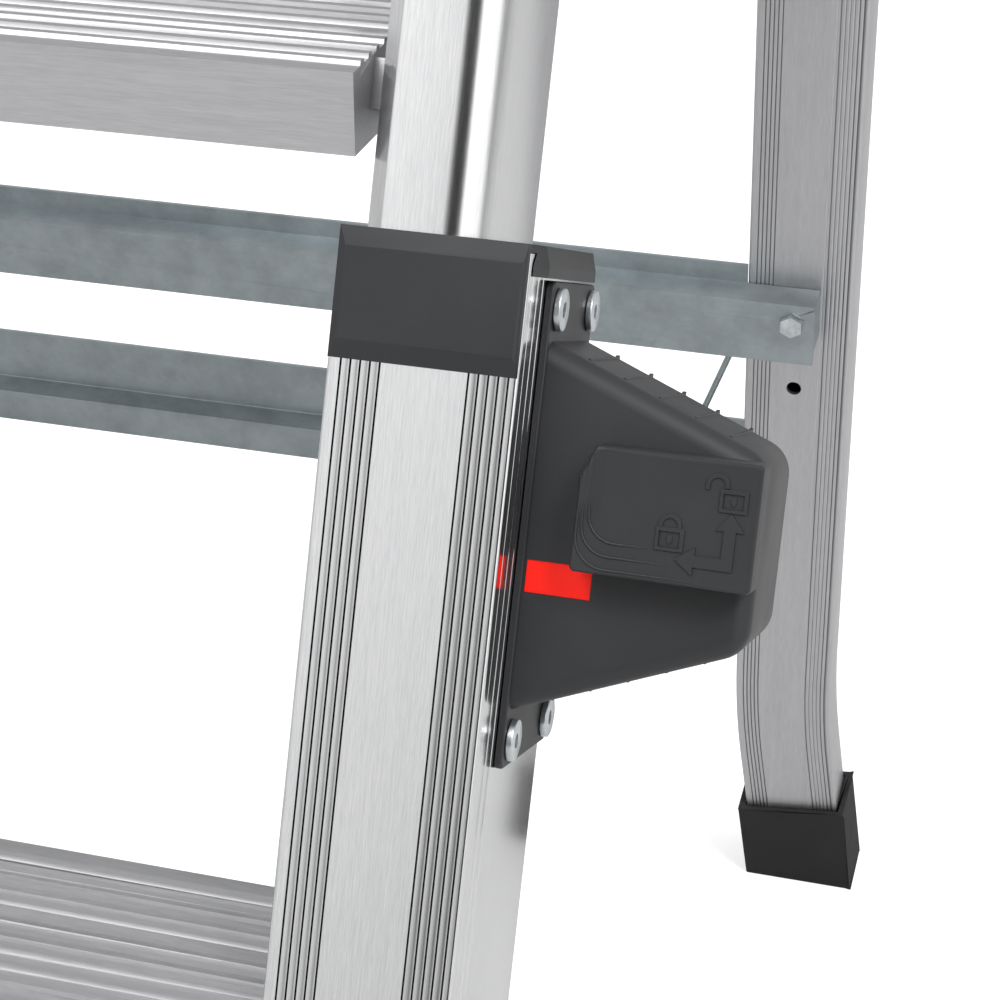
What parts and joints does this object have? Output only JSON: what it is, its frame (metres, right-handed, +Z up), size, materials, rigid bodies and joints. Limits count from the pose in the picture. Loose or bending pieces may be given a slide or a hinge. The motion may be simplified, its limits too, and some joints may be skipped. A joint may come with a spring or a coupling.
{
  "type": "platform step ladder",
  "caption": "Free-standing aluminium platform step ladder with telescoping levelling front legs, pedal locks and a safety bow.",
  "frame": {"origin": "on the floor, under the middle of the ladder's box", "axes": "+X across the treads to the right as seen when climbing, +Y from the climbing side to the rear frame, +Z up"},
  "size_m": [0.65, 0.7404, 1.6127],
  "materials": {
    "brushed_aluminium": "brushed, extruded with fine grooves",
    "satin_aluminium": "satin mill finish",
    "galvanised_steel": "galvanised sheet with faint spangle",
    "zinc_steel": "zinc plated",
    "black_plastic": "moulded, fine satin texture",
    "rubber": "matt moulded rubber",
    "red_plastic": "signal red field",
    "green_plastic": "signal green field"
  },
  "bodies": {
    "front_frame": {"front_stile_right": "brushed_aluminium", "front_stile_left": "brushed_aluminium", "stile_guide_right": "black_plastic", "stile_guide_left": "black_plastic", "head_bracket_right": "black_plastic", "head_bracket_left": "black_plastic", "hinge_pin_right": "zinc_steel", "hinge_pin_left": "zinc_steel", "platform_pin_right": "zinc_steel", "platform_pin_left": "zinc_steel", "safety_bow": "satin_aluminium", "tread_1": "satin_aluminium", "tread_2": "satin_aluminium", "tread_3": "satin_aluminium"},
    "platform": {"platform": "satin_aluminium"},
    "rear_frame": {"rear_stile_right": "satin_aluminium", "rear_stile_left": "satin_aluminium", "rear_foot_right": "rubber", "rear_foot_left": "rubber", "stay_rod_right": "galvanised_steel", "stay_rod_left": "galvanised_steel", "brace_bolt_right": "zinc_steel", "brace_bolt_left": "zinc_steel", "upper_brace": "galvanised_steel", "lower_brace": "galvanised_steel", "cross_rail": "satin_aluminium"},
    "leg_right": {"leg_tube_right": "brushed_aluminium", "leg_foot_right": "rubber", "collar_right": "black_plastic", "lock_housing_right": "black_plastic", "status_red_right": "red_plastic", "status_green_right": "green_plastic", "lever_pin_right": "zinc_steel", "rivet_upper_front_right": "zinc_steel", "rivet_upper_rear_right": "zinc_steel", "rivet_lower_front_right": "zinc_steel", "rivet_lower_rear_right": "zinc_steel"},
    "carrier_right": {"pedal_carrier_right": "black_plastic"},
    "pedal_right": {"lock_pedal_right": "black_plastic", "pedal_keeper_right": "galvanised_steel"},
    "lever_right": {"clamp_lever_right": "galvanised_steel"},
    "shoe_right": {"clamp_shoe_right": "rubber"},
    "leg_left": {"leg_tube_left": "brushed_aluminium", "leg_foot_left": "rubber", "collar_left": "black_plastic", "lock_housing_left": "black_plastic", "status_red_left": "red_plastic", "status_green_left": "green_plastic", "lever_pin_left": "zinc_steel", "rivet_upper_front_left": "zinc_steel", "rivet_upper_rear_left": "zinc_steel", "rivet_lower_front_left": "zinc_steel", "rivet_lower_rear_left": "zinc_steel"},
    "carrier_left": {"pedal_carrier_left": "black_plastic"},
    "pedal_left": {"lock_pedal_left": "black_plastic", "pedal_keeper_left": "galvanised_steel"},
    "lever_left": {"clamp_lever_left": "galvanised_steel"},
    "shoe_left": {"clamp_shoe_left": "rubber"}
  },
  "joints": [
    {"name": "rear_fold", "type": "hinge", "parent": "front_frame", "child": "rear_frame", "pos_m": [0, 0.14069, 1.03975], "axis": [-1, 0, 0], "range_deg": [0, 24.5]},
    {"name": "platform_tilt", "type": "hinge", "parent": "front_frame", "child": "platform", "pos_m": [0, 0.15634, 1.115], "axis": [1, 0, 0], "range_deg": [0, 67]},
    {"name": "leg_slide_right", "type": "slide", "parent": "front_frame", "child": "leg_right", "axis": [0, -0.3907, -0.9205], "range_m": [0, 0.18]},
    {"name": "pedal_drop_right", "type": "slide", "parent": "leg_right", "child": "carrier_right", "axis": [0, -0.3907, -0.9205], "range_m": [0, 0.0104]},
    {"name": "pedal_shift_right", "type": "slide", "parent": "carrier_right", "child": "pedal_right", "axis": [-1, 0, 0], "range_m": [0, 0.0164]},
    {"name": "lever_turn_right", "type": "hinge", "parent": "leg_right", "child": "lever_right", "pos_m": [0.262, -0.1286, 0.42836], "axis": [0, -0.9205, 0.3907], "range_deg": [0, 30]},
    {"name": "shoe_press_right", "type": "slide", "parent": "leg_right", "child": "shoe_right", "axis": [-1, 0, 0], "range_m": [0, 0.0012]},
    {"name": "leg_slide_left", "type": "slide", "parent": "front_frame", "child": "leg_left", "axis": [0, -0.3907, -0.9205], "range_m": [0, 0.18]},
    {"name": "pedal_drop_left", "type": "slide", "parent": "leg_left", "child": "carrier_left", "axis": [0, -0.3907, -0.9205], "range_m": [0, 0.0104]},
    {"name": "pedal_shift_left", "type": "slide", "parent": "carrier_left", "child": "pedal_left", "axis": [1, 0, 0], "range_m": [0, 0.0164]},
    {"name": "lever_turn_left", "type": "hinge", "parent": "leg_left", "child": "lever_left", "pos_m": [-0.262, -0.1286, 0.42836], "axis": [0, 0.9205, -0.3907], "range_deg": [0, 30]},
    {"name": "shoe_press_left", "type": "slide", "parent": "leg_left", "child": "shoe_left", "axis": [1, 0, 0], "range_m": [0, 0.0012]}
  ],
  "couplings": [
    {"joint": "platform_tilt", "follows": "rear_fold", "ratio": 2.73},
    {"joint": "lever_turn_right", "follows": "pedal_shift_right", "rad_per_m": 31.9},
    {"joint": "shoe_press_right", "follows": "pedal_shift_right", "ratio": 0.073},
    {"joint": "lever_turn_left", "follows": "pedal_shift_left", "rad_per_m": 31.9},
    {"joint": "shoe_press_left", "follows": "pedal_shift_left", "ratio": 0.073}
  ]
}
